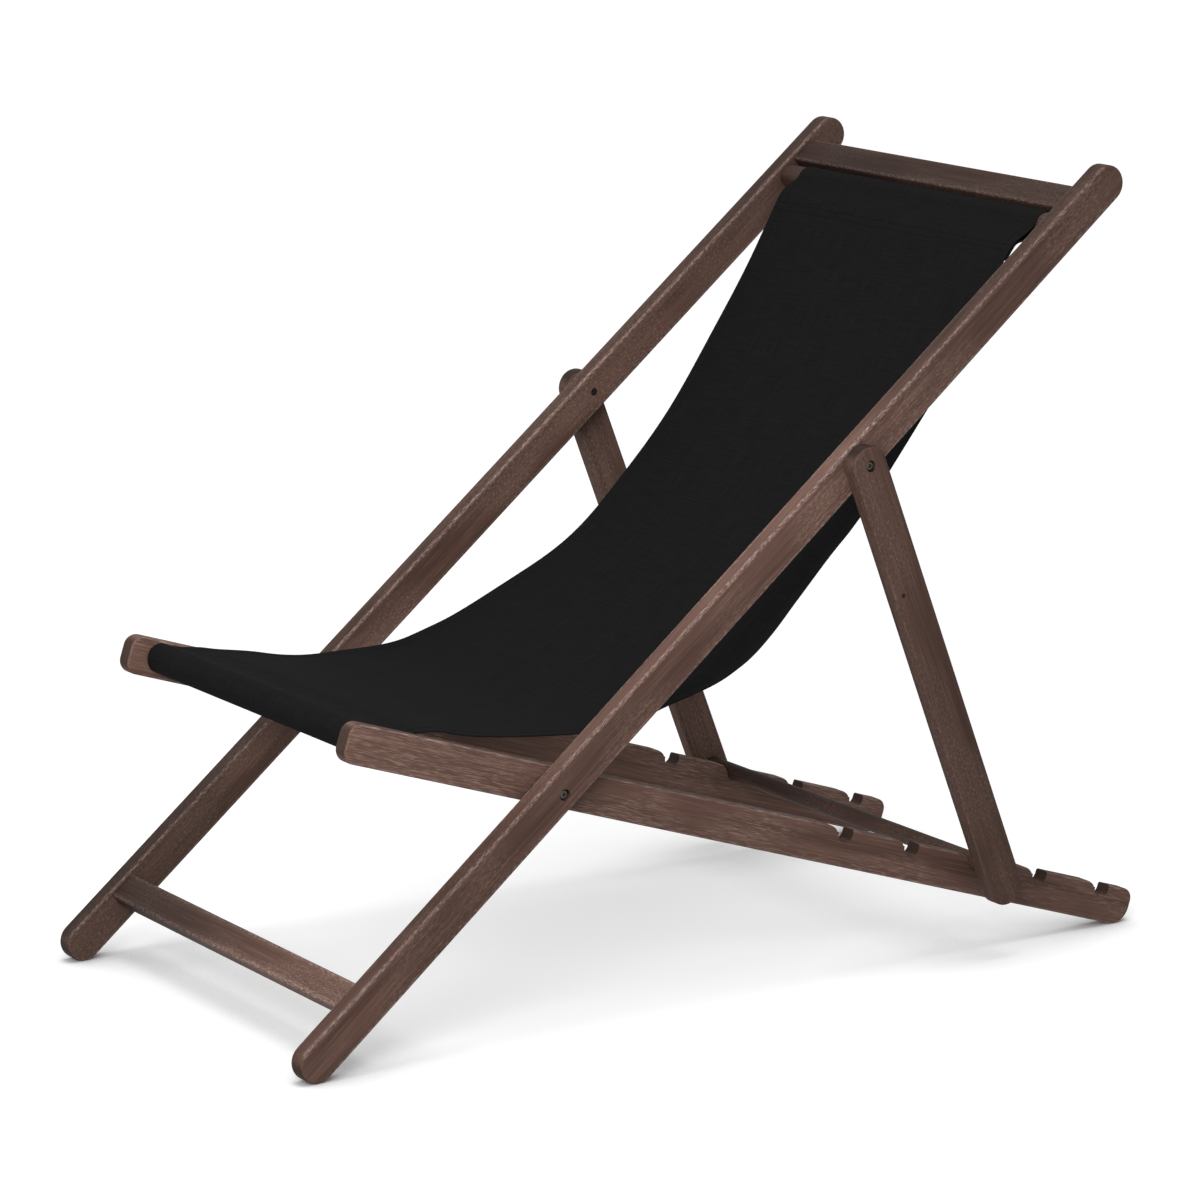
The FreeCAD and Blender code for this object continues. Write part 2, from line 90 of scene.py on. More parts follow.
def linear(hex_colour):
    """sRGB hex to linear RGBA: below 0.04045 a straight line, above it a power of 2.4."""
    value = np.array([int(hex_colour[i:i + 2], 16) for i in (1, 3, 5)]) / 255
    curve = np.where(value <= 0.04045, value / 12.92, ((value + 0.055) / 1.055) ** 2.4)
    return (*curve, 1.0)


def add(tree, kind, inputs, **settings):
    """Add a node; inputs maps its sockets to plain values or to other nodes' outputs."""
    made = tree.nodes.new("ShaderNode" + kind)
    for name, value in settings.items():
        setattr(made, name, value)
    for name, value in inputs.items():
        if isinstance(value, bpy.types.NodeSocket):
            tree.links.new(value, made.inputs[name])
        else:
            made.inputs[name].default_value = value
    return made


def new_finish(name):
    """Empty material and its node tree."""
    made = bpy.data.materials.new(name)
    made.use_nodes = True
    made.node_tree.nodes.clear()
    return made, made.node_tree


# Sockets of a colour Mix node, which have the same names for every type of value
MIX_SHARE, MIX_FROM, MIX_TO, MIX_RESULT = 0, 6, 7, 2
print("ivory in linear light:", np.round(linear("#fffff0"), 3))

# %% [markdown]
# ## Stage and light
# A studio shot on white: a sheet of white acrylic that glows from below, so the floor stays
# white and only the ground under the chair turns a faint grey. It is curved up far behind the
# chair, as studio floors are, so low views show no horizon. A profile turned once round makes
# it. Near the feet and the low timbers the ambient occlusion node dims the glow: a painted
# contact shadow. The glow is meant for the floor alone: the timbers' undersides are dark in the
# photograph, so the floor neither lights them, nor shades them, nor shows in their shine.

# %% Floor
FLAT, COVE, WALL = 14.0, 4.0, 12.0      # metres: the flat's radius, the curve's, the height
SIDES, CURVE_POINTS = 96, 16            # round the sheet, and along its curve
GLOW, CONTACT_SHADOW_REACH = 0.5, 0.12               # glow strength, and metres round a foot within which the glow is dimmed as painted contact shadow
FULL_SHADOW_AT, NO_SHADOW_AT = 0.45, 0.95              # ambient occlusion where the painted contact shadow is full, and where it ends
bend = np.radians(np.linspace(0.0, 90.0, CURVE_POINTS))
out = np.append(FLAT + COVE * np.sin(bend), FLAT + COVE)[:, None]
rise = np.append(COVE * (1 - np.cos(bend)), WALL)[:, None]
turn = np.linspace(0.0, 2 * np.pi, SIDES, endpoint=False)[None, :]
sheet = np.stack(np.broadcast_arrays(out * np.cos(turn), out * np.sin(turn), rise), axis=-1)
place = np.arange(len(out) * SIDES).reshape(-1, SIDES)
ahead = np.roll(place, -1, axis=1)
curved = np.stack([place[:-1], place[1:], ahead[1:], ahead[:-1]], axis=-1).reshape(-1, 4)
sheet_faces = [place[0].tolist(), *curved.tolist()]
floor_mesh = bpy.data.meshes.new("studio_floor")
floor_mesh.from_pydata(sheet.reshape(-1, 3).tolist(), [], sheet_faces)
floor_mesh.polygons.foreach_set("use_smooth", np.append(False, np.ones(len(curved), bool)))
floor = bpy.data.objects.new("studio_floor", floor_mesh)
bpy.context.scene.collection.objects.link(floor)
floor.visible_diffuse = floor.visible_glossy = floor.visible_shadow = False
acrylic, tree = new_finish("white acrylic, lit from below")
# The glow is dimmed by ambient occlusion near the feet and low timbers: a painted contact shadow.
openness = add(tree, "AmbientOcclusion", {"Distance": CONTACT_SHADOW_REACH}, samples=8)
glow = add(tree, "MapRange", {"Value": openness.outputs["AO"], "From Min": FULL_SHADOW_AT,
                              "From Max": NO_SHADOW_AT, "To Max": GLOW})
surface = add(tree, "BsdfPrincipled", {
    "Base Color": linear("#cbcbcb"), "Roughness": 0.9, "Specular IOR Level": 0.1,
    "Emission Color": linear("#ffffff"), "Emission Strength": glow.outputs["Result"]})
add(tree, "OutputMaterial", {"Surface": surface.outputs["BSDF"]})
floor_mesh.materials.append(acrylic)
print("floor: %d faces" % len(floor_mesh.polygons))

# %% [markdown]
# One big soft box stands in front on the sitter's left, a wide light panel far overhead draws
# the shadow, and the white room fills in the rest. One small lamp would draw hard shadows
# that the photograph doesn't have.

# %% Light
ROOM_STRENGTH = 0.57
room = bpy.data.worlds.new("white room")
room.use_nodes = True
room.node_tree.nodes["Background"].inputs["Color"].default_value = linear("#ffffff")
room.node_tree.nodes["Background"].inputs["Strength"].default_value = ROOM_STRENGTH
bpy.context.scene.world = room
bpy.context.scene.view_settings.view_transform = "Standard"
LAMPS = {  # name: (kind, place, aimed at, settings)
    "soft_box_front": ("AREA", (3.0, -3.0, 2.3), (0.0, 0.0, 0.5),
                       {"size": 2.2, "energy": 160.0}),
    "panel_overhead": ("SUN", (0.0, 0.0, 4.0), (0.0, 0.0, 0.0),
                       {"angle": math.radians(24), "energy": 0.95}),
}
for name, (kind, place, target, settings) in LAMPS.items():
    lamp_data = bpy.data.lights.new(name, kind)
    for setting, value in settings.items():
        setattr(lamp_data, setting, value)
    lamp = bpy.data.objects.new(name, lamp_data)
    lamp.location = place
    aim = np.subtract(place, target)
    tilt = math.acos(aim[2] / np.linalg.norm(aim))
    lamp.rotation_euler = (tilt, 0.0, math.atan2(aim[0], -aim[1]))
    bpy.context.scene.collection.objects.link(lamp)
print("lamps:", ", ".join(LAMPS))

# %% [markdown]
# ## Stained timber
# The frame is planed hardwood under a dark brown stain. Stain sinks into the soft early wood
# and the pores and less into the hard late wood, so the eye sees long streaks along each
# timber, short light flecks where a fibre stands proud, darker end grain, and arrises that
# are rubbed lighter. No two boards come out alike, nor one board evenly: the lightness along
# each board is partly uneven stain and partly painted light and shade, darkest on the head
# slat, the turned bars and the far end of the foot slat, and the lighter or darker top faces
# are painted light and shade. One strut has a pin knot. A wood photograph would be flat;
# patterns worked out in space run through the whole solid, so each end shows its end grain.
# Each pattern is squeezed across the timber and stretched along it, by sizes in millimetres,
# and turned to the timber's slope.

# %% Where each timber lies
MAIN_SLOPE, SEAT_SLOPE, LEG_SLOPE = 39.7, -18.06, -68.73    # degrees above the floor
ACROSS, ALONG, SQUARE = 0, 1, 2     # axes: across the chair, along a timber, square to both


def directions(slope):
    """Unit vectors along a timber of this slope, and square to it on the upper side."""
    c, s = math.cos(math.radians(slope)), math.sin(math.radians(slope))
    return np.array([0.0, c, s]), np.array([0.0, -s, c])


def beside(pivot, slope, station, rise):
    """Point at a station along a timber from a pivot, and at a rise square to it, in mm."""
    along, upward = directions(slope)
    return pivot + (station * along + rise * upward) * MM


# %% [markdown]
# A timber's colour is built up like the real thing: early wood first, and over it one layer
# after another, each with the share that its ramps give. A ramp goes smoothly from nothing,
# where a pattern or a distance says that the layer begins, to the share where it is full.

# %% Stained timber
PATTERNS = {  # pattern: mm across the fibres, mm along them, detail, distortion
    "figure": (13.0, 420.0, 3.0, 0.6),
    "streaks": (1.6, 60.0, 3.0, 0.3),
    "patches": (60.0, 150.0, 1.0, 0.0),
}
FLECK_WIDTH = 0.8                   # mm, and the length differs from timber to timber
THIN_STAIN = (0.37, 0.60)           # where patches of thin stain begin, and are full
WORN = 1.0                          # mm from an arris that it is rubbed in full
KNOT_EDGE, KNOT_CORE = 3.4, 1.7     # mm from the middle of a pin knot to clear and dark wood


def stained_timber(name, slope, centre, grain, section, rubbed, fleck, tones,
                   top_light_and_shade=None, knot=None):
    """Dark stained hardwood on a timber of this slope with a middle line through centre.
    Its fibres follow the axis grain and its flecks are fleck long. For its arrises, section
    maps axes to (middle, half width), and rubbed is how far in from them it is worn. tones are
    (station along the grain, lightness) from end to end, partly uneven stain and partly painted
    light and shade. The face that looks up gets lightness stops of its own, on top of that:
    painted light on a lit top face, painted shade on a shaded one. knot is a place on the three
    axes. Lengths are in mm, and only centre is in metres."""
    made, tree = new_finish(name)
    place = add(tree, "TexCoord", {})
    local = add(tree, "Mapping", {"Vector": place.outputs["Object"], "Location": centre,
                                  "Rotation": (math.radians(slope), 0.0, 0.0)},
                vector_type="TEXTURE").outputs[0]
    axes = add(tree, "SeparateXYZ", {"Vector": local}).outputs
    noise = {}
    for kind, sizes in {**PATTERNS, "flecks": (FLECK_WIDTH, fleck, 1.0, 0.0)}.items():
        across, along, detail, distortion = sizes
        scale = [1 / (across * MM)] * 3
        scale[grain] = 1 / (along * MM)
        stretched = add(tree, "Mapping", {"Vector": local, "Scale": scale})
        spots = add(tree, "TexNoise", {"Vector": stretched.outputs[0], "Scale": 1.0,
                                       "Detail": detail, "Distortion": distortion})
        noise[kind] = spots.outputs["Fac"]

    # End grain drinks more stain, so it is dark where the surface faces along the fibres
    fibre, upward = directions(slope)
    if grain == ACROSS:
        fibre = (1.0, 0.0, 0.0)
    facing = add(tree, "VectorMath", {0: place.outputs["Normal"], 1: fibre},
                 operation="DOT_PRODUCT")
    end_on = add(tree, "Math", {0: facing.outputs["Value"]}, operation="ABSOLUTE").outputs[0]

    # Late wood, thin stain, light and dark streaks, proud fibres in thin stain, end grain:
    layers = [  # colour, share, then ramps as (measure, where it begins, where it is full)
        ("#59423a", 1.0, (noise["figure"], 0.36, 0.64)),
        ("#654e44", 0.2, (noise["patches"], *THIN_STAIN)),
        ("#6f584d", 0.42, (noise["streaks"], 0.52, 0.70)),
        ("#382921", 0.36, (noise["streaks"], 0.48, 0.28)),
        ("#957d72", 0.42, (noise["flecks"], 0.46, 0.74), (noise["patches"], *THIN_STAIN)),
        ("#271c17", 0.8, (end_on, 0.55, 0.95)),
    ]

    # Arrises are rubbed: the farther off the middle both ways at once, the lighter
    if section:
        off = 0.0
        for axis, (middle, _) in section.items():
            steps = (("ABSOLUTE", 0.0), ("SUBTRACT", middle * MM), ("ABSOLUTE", 0.0), ("ADD", off))
            off = axes[axis]
            for operation, other in steps:
                off = add(tree, "Math", {0: off, 1: other}, operation=operation).outputs[0]
        arris = sum(half for _, half in section.values())   # mm off the middle, both ways
        layers.append(("#a18b84", 0.66, (noise["flecks"], 0.38, 0.70),
                       (off, (arris - rubbed) * MM, (arris - WORN) * MM)))
    if knot:
        away = add(tree, "VectorMath", {0: local, 1: np.array(knot) * MM}, operation="DISTANCE")
        layers.append(("#1f1611", 0.85, (away.outputs["Value"], KNOT_EDGE * MM, KNOT_CORE * MM)))

    colour = linear("#4b3730")
    for tone, share, *ramps in layers:
        for measure, begins, full in ramps:
            ramp = add(tree, "MapRange", {"Value": measure, "From Min": begins, "From Max": full,
                                          "To Max": share}, interpolation_type="SMOOTHSTEP")
            share = ramp.outputs["Result"]
        mix = add(tree, "Mix", {MIX_SHARE: share, MIX_FROM: colour, MIX_TO: linear(tone)},
                  data_type="RGBA")
        colour = mix.outputs[MIX_RESULT]

    def by_station(stops):
        """Lightness along the grain, smooth from stop to stop."""
        light = stops[0][1]
        for (begin, low), (end, high) in zip(stops, stops[1:]):
            rise = add(tree, "MapRange", {"Value": axes[grain], "From Min": begin * MM,
                                          "From Max": end * MM, "To Max": high - low},
                       interpolation_type="SMOOTHSTEP")
            light = add(tree, "Math", {0: light, 1: rise.outputs["Result"]},
                        operation="ADD").outputs[0]
        return light

    # Lightness along the grain: partly uneven stain, partly painted light and shade.
    lightness = by_station(tones)
    # The face that looks up gets a lightness of its own: painted light where it is lit, painted
    # shade where it is not.
    if top_light_and_shade:
        facing = add(tree, "VectorMath", {0: place.outputs["Normal"], 1: upward},
                     operation="DOT_PRODUCT")
        painted_top_ramp = add(tree, "MapRange", {"Value": facing.outputs["Value"], "From Min": 0.8,
                                        "From Max": 0.97, "To Min": 1.0,
                                        "To Max": by_station(top_light_and_shade)},
                     interpolation_type="SMOOTHSTEP")
        lightness = add(tree, "Math", {0: lightness, 1: painted_top_ramp.outputs["Result"]},
                        operation="MULTIPLY").outputs[0]
    toned = add(tree, "Mix", {MIX_SHARE: 1.0, MIX_FROM: colour, MIX_TO: lightness},
                data_type="RGBA", blend_type="MULTIPLY")
    proud = add(tree, "Math", {0: noise["flecks"], 1: 0.4}, operation="MULTIPLY")
    height = add(tree, "Math", {0: noise["streaks"], 1: 0.6, 2: proud.outputs[0]},
                 operation="MULTIPLY_ADD")
    bump = add(tree, "Bump", {"Height": height.outputs[0], "Strength": 0.35, "Distance": 0.6 * MM})
    rough = add(tree, "MapRange", {"Value": noise["streaks"], "To Min": 0.46, "To Max": 0.68})
    surface = add(tree, "BsdfPrincipled", {
        "Base Color": toned.outputs[MIX_RESULT], "Roughness": rough.outputs["Result"],
        "IOR": 1.48, "Specular IOR Level": 0.13, "Normal": bump.outputs["Normal"]})
    add(tree, "OutputMaterial", {"Surface": surface.outputs["BSDF"]})
    return made


# %% The timbers, one by one
SHORT_FLECK, LONG_FLECK = 4.6, 14.0     # mm
SLAT_RISE = 10.8                # mm above the line from the fold pivot along the main rails
SLAT_SECTION = {ALONG: (0.0, 16.5), SQUARE: (0.0, 9.0)}
# The slats' tones paint shade: the head slat is darkened to under half, and the foot slat towards
# its far end.
SLATS = {  # slat: station along the main rails, how far in it is rubbed, tones
    "head": (868.5, 4.0, [(-220, 0.4), (50, 0.47)]),
    "foot": (-305.5, 6.0, [(-220, 0.46), (140, 1.2)]),
}
BOARDS = {  # kind: slope, a point on its middle line, section, how far in it is rubbed, fleck
    "main_rail": (MAIN_SLOPE, beside(fold_pivot, MAIN_SLOPE, 0.0, 3.8),
                  {ACROSS: (259.0, 11.0), SQUARE: (0.0, 20.5)}, 5.0, SHORT_FLECK),
    "seat_rail": (SEAT_SLOPE, beside(fold_pivot, SEAT_SLOPE, 0.0, 4.2),
                  {ACROSS: (236.0, 10.0), SQUARE: (0.0, 21.25)}, 3.0, LONG_FLECK),
    "prop_leg": (LEG_SLOPE, prop_pivot,
                 {ACROSS: (282.0, 10.0), SQUARE: (0.0, 21.25)}, 2.0, SHORT_FLECK),
}
# Tones along each board are partly uneven stain and partly painted light and shade. Top faces are
# painted light on the near main rail and painted shade on the far main rail and the near seat
# rail.
STAIN = {  # board: tones along it, painted light and shade of its top face, knot
    "main_rail_left": ([(-290, 0.98), (-200, 0.76), (-80, 0.85), (40, 0.97), (450, 1.22),
                        (850, 0.82)],
                       [(-100, 1.0), (60, 1.22), (480, 1.22), (600, 0.7)], None),
    "main_rail_right": ([(-170, 0.68), (-100, 1.05), (450, 1.22), (850, 0.8)],
                        [(-400, 0.6), (900, 0.66)], None),
    "seat_rail_left": ([(-230, 1.36), (120, 1.0), (450, 1.1), (640, 0.92)],
                       [(-200, 0.6), (300, 0.72)], None),
    "seat_rail_right": ([(-230, 1.36), (120, 1.0), (450, 1.35), (640, 1.15)], None, None),
    "prop_leg_left": ([(40, 0.8), (350, 0.68)], None, (292.0, 151.0, -11.0)),
    "prop_leg_right": ([(40, 0.8), (350, 0.75), (450, 1.1)], None, None),
}
TIMBERS = {}
for name, (station, rubbed, tones) in SLATS.items():
    centre = beside(fold_pivot, MAIN_SLOPE, station, SLAT_RISE)
    TIMBERS[name + "_crosspiece"] = stained_timber(
        "stained hardwood, %s slat" % name, MAIN_SLOPE, centre, ACROSS, SLAT_SECTION, rubbed,
        SHORT_FLECK, tones)
# The turned bars are darkened to about half: painted shade on the rod under the head slat and on
# the prop bar.
turned_bars = stained_timber("stained hardwood, turned bars", 0.0, fold_pivot, ACROSS, {}, 0.0,
                             SHORT_FLECK, [(-200, 0.5), (200, 0.6)])
TIMBERS.update({name: turned_bars for name in ("sling_rod", "seat_front_bar", "prop_bar")})
for name, (tones, top_light_and_shade, knot) in STAIN.items():
    slope, centre, section, rubbed, fleck = BOARDS[name.rsplit("_", 1)[0]]
    TIMBERS[name] = stained_timber("stained hardwood, " + name.replace("_", " "), slope, centre,
                                   ALONG, section, rubbed, fleck, tones, top_light_and_shade, knot)
print("timbers finished:", len(TIMBERS))

# %% [markdown]
# ## Zinc plated steel
# The pivots are machine bolts, round nuts and washers in bright zinc plate: a grey metal
# with a soft, slightly uneven shine. The unevenness is a fine noise on the roughness.

# %% Zinc plated steel
PLATING_GRAIN = 0.5             # mm
zinc, tree = new_finish("zinc plated steel")
place = add(tree, "TexCoord", {})
grainy = add(tree, "TexNoise", {"Vector": place.outputs["Object"],
                                "Scale": 1 / (PLATING_GRAIN * MM)})
rough = add(tree, "MapRange", {"Value": grainy.outputs["Fac"], "To Min": 0.24, "To Max": 0.5})
tint = add(tree, "Mix", {MIX_SHARE: grainy.outputs["Fac"], MIX_FROM: linear("#57534e"),
                         MIX_TO: linear("#77726b")}, data_type="RGBA")
surface = add(tree, "BsdfPrincipled", {"Base Color": tint.outputs[MIX_RESULT], "Metallic": 1.0,
                                       "Roughness": rough.outputs["Result"]})
add(tree, "OutputMaterial", {"Surface": surface.outputs["BSDF"]})

# %% Give each timber and bolt its finish
for name, piece in nodes.items():
    if name != "sling":
        piece.material_slots[0].material = TIMBERS.get(name, zinc)
print("finishes given:", len(nodes) - 1)

# %% [markdown]
# ## Black canvas
# The sling is heavy plain-woven cotton canvas dyed black: matt, faintly fuzzy, and so dark
# that its weave shows mainly in close views. A plain weave goes over one thread and under
# the next, which is the product of two sine waves, one along each set of threads. The
# threads of such a cloth are about 0.7 mm apart; they are drawn 1.5 mm apart, because finer
# ones don't show. The pattern reads the cloth's own map, in metres, and so follows its folds.

# %% Black canvas
THREAD = 1.5                    # mm between threads, as drawn
SLUB = (1.2, 45.0)              # mm across and along a thick stretch of thread
canvas, tree = new_finish("black cotton canvas, plain weave")
flat_map = add(tree, "UVMap", {}, uv_map="cloth")
threads = add(tree, "Mapping", {"Vector": flat_map.outputs[0],
                                "Scale": [math.pi / (THREAD * MM)] * 3})
axes = add(tree, "SeparateXYZ", {"Vector": threads.outputs[0]})
waves = [add(tree, "Math", {0: axes.outputs[i]}, operation="SINE") for i in (0, 1)]
weave = add(tree, "Math", {0: waves[0].outputs[0], 1: waves[1].outputs[0]},
            operation="MULTIPLY")
slubs = []
for size in (SLUB, SLUB[::-1]):
    run = add(tree, "Mapping", {"Vector": flat_map.outputs[0],
                                "Scale": (1 / (size[0] * MM), 1 / (size[1] * MM), 1.0)})
    noise = add(tree, "TexNoise", {"Vector": run.outputs[0], "Scale": 1.0, "Detail": 1.0})
    slubs.append(noise.outputs["Fac"])
slub = add(tree, "Math", {0: slubs[0], 1: slubs[1]}, operation="ADD")
shares = add(tree, "MapRange", {"Value": slub.outputs[0], "From Min": 0.7, "From Max": 1.3})
dye = add(tree, "Mix", {MIX_SHARE: shares.outputs["Result"], MIX_FROM: linear("#141414"),
                        MIX_TO: linear("#1b1b1b")}, data_type="RGBA")
height = add(tree, "Math", {0: weave.outputs[0], 1: 0.5, 2: slub.outputs[0]},
             operation="MULTIPLY_ADD")
bump = add(tree, "Bump", {"Height": height.outputs[0], "Strength": 0.3, "Distance": 0.4 * MM})
surface = add(tree, "BsdfPrincipled", {
    "Base Color": dye.outputs[MIX_RESULT], "Roughness": 0.95, "Specular IOR Level": 0.02,
    "Sheen Weight": 0.006, "Sheen Roughness": 0.5, "Normal": bump.outputs["Normal"]})
add(tree, "OutputMaterial", {"Surface": surface.outputs["BSDF"]})

# %% [markdown]
# ## The sling
# One strip of canvas, hemmed along both sides, with a casing sewn at each end: the front bar
# goes through one and the rod under the head slat through the other. A strip held at two
# places hangs as a catenary. It could be simulated, but then its edges wouldn't fall where
# the photograph shows them, so the curve is worked out: a catenary of the strip's length,
# a little flatter at the seat and straighter at the back, as it is there. The strip's
# section, with its turned hems, is then carried along that line.

# %% The line that the cloth follows, seen from the side
CLOTH = 1.0 * MM                # thickness
LAYER = 0.7 * MM                # what a turned hem adds underneath
HEM = 18.0 * MM                 # width of a turned hem
HALF_WIDTH = 223.0 * MM
CASING = 46.0 * MM              # bar to the seam
FLAP = 24.0 * MM                # seam allowance beyond it, sewn to the underside
FLAP_UNDER = 2.2 * LAYER        # room for the hems between the cloth and its flap
SPARE = 0.6 * MM                # cloth round a bar
LOOP_SAG = 1.12                 # how much deeper a loop hangs under its bar
LOOP_FROM, LOOP_TO = 292.0, 90.0    # degrees round a bar, where a loop meets it and leaves it
FLAP_POINTS, BEND_POINTS, LOOP_POINTS = 8, 14, 30
HALVINGS = 60


def bar_centre(node):
    """Middle of a bar's box, and its radius, seen from the side."""
    low, high = (np.array(corner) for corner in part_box(node))
    return (low + high)[1:] / 2, (high[2] - low[2]) / 2


def hang(front, rear, length):
    """Catenary z = base + scale cosh((y - lowest) / scale) of this length between two points:
    the scale is halved in on until the arc, 2 scale sinh(span / 2 scale), is long enough."""
    span, rise = rear - front
    tight, loose = span / 20, span * 40     # surely too long a curve, surely too short
    for _ in range(HALVINGS):
        scale = (tight + loose) / 2
        too_long = 2 * scale * math.sinh(span / (2 * scale)) > math.sqrt(length ** 2 - rise ** 2)
        tight, loose = (scale, loose) if too_long else (tight, scale)
    lowest = (front[0] + rear[0]) / 2 - scale * math.atanh(rise / length)
    return scale, lowest, front[1] - scale * math.cosh((front[0] - lowest) / scale)


def casing(radius):
    """Loop round a bar as (run, rise) from the bar's axis: from the end of the flap along the
    underside, down an S curve to the bar, and round it to its top. The S is a cubic Hermite."""
    under = radius - CLOTH - FLAP_UNDER
    flap = np.stack([np.linspace(CASING + FLAP, CASING, FLAP_POINTS),
                     np.full(FLAP_POINTS, under)], axis=1)
    turn = np.radians(np.linspace(LOOP_FROM, LOOP_TO, LOOP_POINTS))
    ring = np.stack([np.cos(turn), np.sin(turn)], axis=1) * radius
    ring[:, 1] *= np.where(ring[:, 1] < 0, LOOP_SAG, 1.0)
    t = np.linspace(0.0, 1.0, BEND_POINTS)[1:-1, None]
    pull = np.linalg.norm(ring[0] - flap[-1])
    leave = np.array([-pull, 0.0])
    arrive = np.array([ring[0, 1], -ring[0, 0]]) / radius * pull
    bend = ((1 + 2 * t) * (1 - t) ** 2 * flap[-1] + t * (1 - t) ** 2 * leave
            + t ** 2 * (3 - 2 * t) * ring[0] + t ** 2 * (t - 1) * arrive)
    return np.concatenate([flap, bend, ring])


# %% [markdown]
# The strip's free length is what reaches from bar to rod when the frames lie flat, so the
# chair can fold. The ends of the catenary move as the loops tilt with it, so a few rounds of
# tilting the loops and hanging the curve again bring both together. Each point of the line
# also gets its share of the free length, and a flap the share of the cloth that it is sewn to,
# so that whatever lifts the cloth lifts the flap with it.

# %% The whole side view, from one flap to the other
FREE_LENGTH = 1057.5 * MM
SPAN_POINTS, ROUNDS = 230, 20
front_bar, front_radius = bar_centre("seat_front_bar")
rear_bar, rear_radius = bar_centre("sling_rod")
radii = [r + SPARE + CLOTH / 2 for r in (front_radius, rear_radius)]
slopes = [0.0, 0.0]
for _ in range(ROUNDS):
    ups = [np.array([-math.sin(a), math.cos(a)]) for a in slopes]
    tops = [bar + up * r for bar, up, r in zip((front_bar, rear_bar), ups, radii)]
    scale, lowest, base = hang(tops[0], tops[1], FREE_LENGTH)
    slopes = [math.atan(math.sinh((top[0] - lowest) / scale)) for top in tops]
loops = []
for bar, r, up, heading in zip((front_bar, rear_bar), radii, ups, (1, -1)):
    run, rise = casing(r).T[:, :, None]
    loops.append(bar + run * np.array([up[1], -up[0]]) * heading + rise * up)
ends = [scale * math.sinh((top[0] - lowest) / scale) for top in tops]
arc = np.linspace(*ends, SPAN_POINTS)[1:-1]
span = np.stack([lowest + scale * np.arcsinh(arc / scale), base + np.hypot(arc, scale)], axis=1)
line = np.concatenate([loops[0], span, loops[1][::-1]])
steps = np.linalg.norm(np.diff(line, axis=0), axis=1)
along = np.concatenate([[0.0], np.cumsum(steps)])
tangent = np.gradient(line, along, axis=0)
tangent /= np.linalg.norm(tangent, axis=1)[:, None]
normal = np.stack([-tangent[:, 1], tangent[:, 0]], axis=1)
span_start, span_end = along[len(loops[0]) - 1], along[-len(loops[1])]
over = [np.clip(casing(r)[:, 0], 0, None) / FREE_LENGTH for r in radii]
share_at = np.concatenate([over[0], np.linspace(0, 1, SPAN_POINTS)[1:-1], 1 - over[1][::-1]])
print("strip %.0f mm long, %.0f mm of it free" % (along[-1] / MM, (span_end - span_start) / MM))

# %% [markdown]
# Real cloth isn't a perfect sheet. Its edges hang a little higher in some places and lower in
# others, the top end has crept along the rod towards the sitter's left, hems wave and seams
# pucker. Swells with smooth shoulders move the edges and the cloth between them follows, and
# the waves die away from the hem or the seam. A cloth simulation would give other folds on
# every change, while these stay where they were seen.

# %% The cloth as a surface
LIFTS = {  # edge: swells as (height in mm, then shares of the free length, as swell takes them)
    "right": [(10.0, 0.0, 0.05, 0.19, 0.30), (7.5, 0.03, 0.12, 0.19, 0.30),
              (14.2, 0.185, 0.335, 0.36, 0.57), (13.2, 0.56, 0.92, 0.955, 1.0)],
    "left": [(17.5, 0.015, 0.09, 0.12, 0.385), (-9.5, 0.34, 0.43, 0.45, 0.53),
             (12.5, 0.49, 0.60, 0.935, 1.0), (6.0, 0.60, 0.70, 0.935, 1.0)],
}
SLIDES = {  # edge: how far it has crept along the rod, in mm, and from which share on
    "right": [(12.0, 0.974, 1.0, 2.0, 3.0)],
    "left": [(12.0, 0.955, 0.998, 2.0, 3.0)],
}
HEM_WAVE, HEM_WAVE_LENGTH = 1.3 * MM, 190.0 * MM
PUCKER, PUCKER_LENGTH, PUCKER_REACH = 0.25 * MM, 31.0 * MM, 26.0 * MM
WAVY = (0.02, 0.12, 0.9, 0.98)          # shares where the hems can wave
PUCKERED = (0.0, 0.02, 0.98, 1.0)       # and where a seam can pucker, clear of the loops


def swell(t, start, full, still, end):
    """0 up to start, 1 from full to still, 0 from end on, with smooth shoulders."""
    up = np.clip((t - start) / (full - start), 0, 1)
    down = np.clip((end - t) / (end - still), 0, 1)
    return up * up * (3 - 2 * up) * down * down * (3 - 2 * down)


def between_edges(swells, share, x):
    """Sum of an edge's swells, and between the edges in straight proportion to their distance."""
    left, right = (sum(size * MM * swell(share, *shares) for size, *shares in swells[edge])
                   for edge in ("left", "right"))
    return (left * (HALF_WIDTH + x) + right * (HALF_WIDTH - x)) / (2 * HALF_WIDTH)


def cloth(s, x, off):
    """Point of the sling at a length s along the strip, x across the chair, and off from the
    middle of the cloth towards the sitter: the side-view line, lifted at each edge and straight
    across between them, with waves in the hems, then moved along its normal by seam puckers,
    and along the rod where the cloth has crept towards the sitter's left."""
    y, z = (np.interp(s, along, line[:, i]) for i in (0, 1))
    ny, nz = (np.interp(s, along, normal[:, i]) for i in (0, 1))
    share = np.interp(s, along, share_at)
    z = z + between_edges(LIFTS, share, x)
    outer_quarter = np.clip(np.abs(x) / HALF_WIDTH * 4 - 3, 0, 1)
    wave = np.sin(2 * np.pi * share * FREE_LENGTH / HEM_WAVE_LENGTH + np.sign(x))
    z = z + HEM_WAVE * outer_quarter ** 2 * swell(share, *WAVY) * wave
    for seam in (span_start + CASING, span_end - CASING):
        fade = np.exp(-((s - seam) / PUCKER_REACH) ** 2) * swell(share, *PUCKERED)
        off = off + PUCKER * fade * np.sin(2 * np.pi * x / PUCKER_LENGTH)
    x = x + between_edges(SLIDES, share, x)
    return np.stack([x, y + ny * off, z + nz * off], axis=-1)


# %% [markdown]
# The section is walked once round: across the sitter's side, round one edge, back across the
# underside with the turned hems as low steps, and round the other edge. Carrying it along
# the line gives a closed grid, and the two flap ends are closed with strips of quads.

